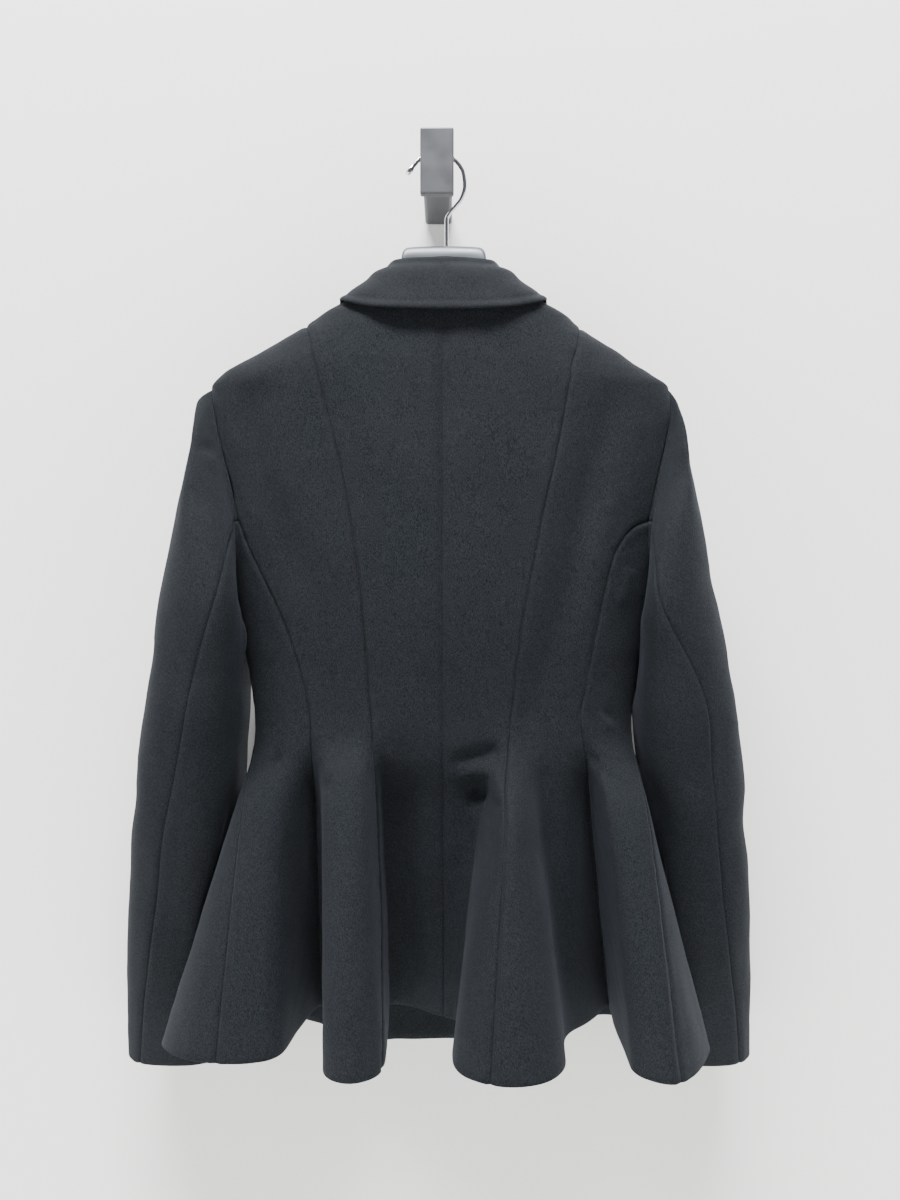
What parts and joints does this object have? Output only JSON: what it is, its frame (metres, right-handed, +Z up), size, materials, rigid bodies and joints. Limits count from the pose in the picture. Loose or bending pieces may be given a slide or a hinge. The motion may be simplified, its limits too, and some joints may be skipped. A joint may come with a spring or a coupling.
{
  "type": "blazer on a hanger and wall hook",
  "caption": "Dark wool blazer with a fluted peplum, seen from its back, on a plastic hanger whose wire hook hangs from a square wall hook.",
  "frame": {"origin": "centre of the wall hook arm's end face, where it meets the wall", "axes": "+Z up, +Y into the wall, +X to the wearer's right, which is to the right of one who faces the wall"},
  "size_m": [0.6066, 0.227, 0.8662],
  "materials": {
    "wool": "fine wool twill, matt",
    "button": "satin horn-like",
    "hanger": "semi-gloss moulded",
    "chrome": "polished wire",
    "anthracite": "satin"
  },
  "bodies": {
    "root": {"back_left": "wool", "back_right": "wool", "side_back_left": "wool", "side_back_right": "wool", "side_left": "wool", "side_right": "wool", "side_front_left": "wool", "side_front_right": "wool", "front_left": "wool", "front_right": "wool", "lapel_left": "wool", "lapel_right": "wool", "collar_stand": "wool", "collar_leaf": "wool", "upper_sleeve_left": "wool", "upper_sleeve_right": "wool", "under_sleeve_left": "wool", "under_sleeve_right": "wool", "button": "button", "hanger_body": "hanger", "hanger_hook": "chrome", "wall_hook_arm": "anthracite", "wall_hook_plate": "anthracite"}
  },
  "joints": []
}
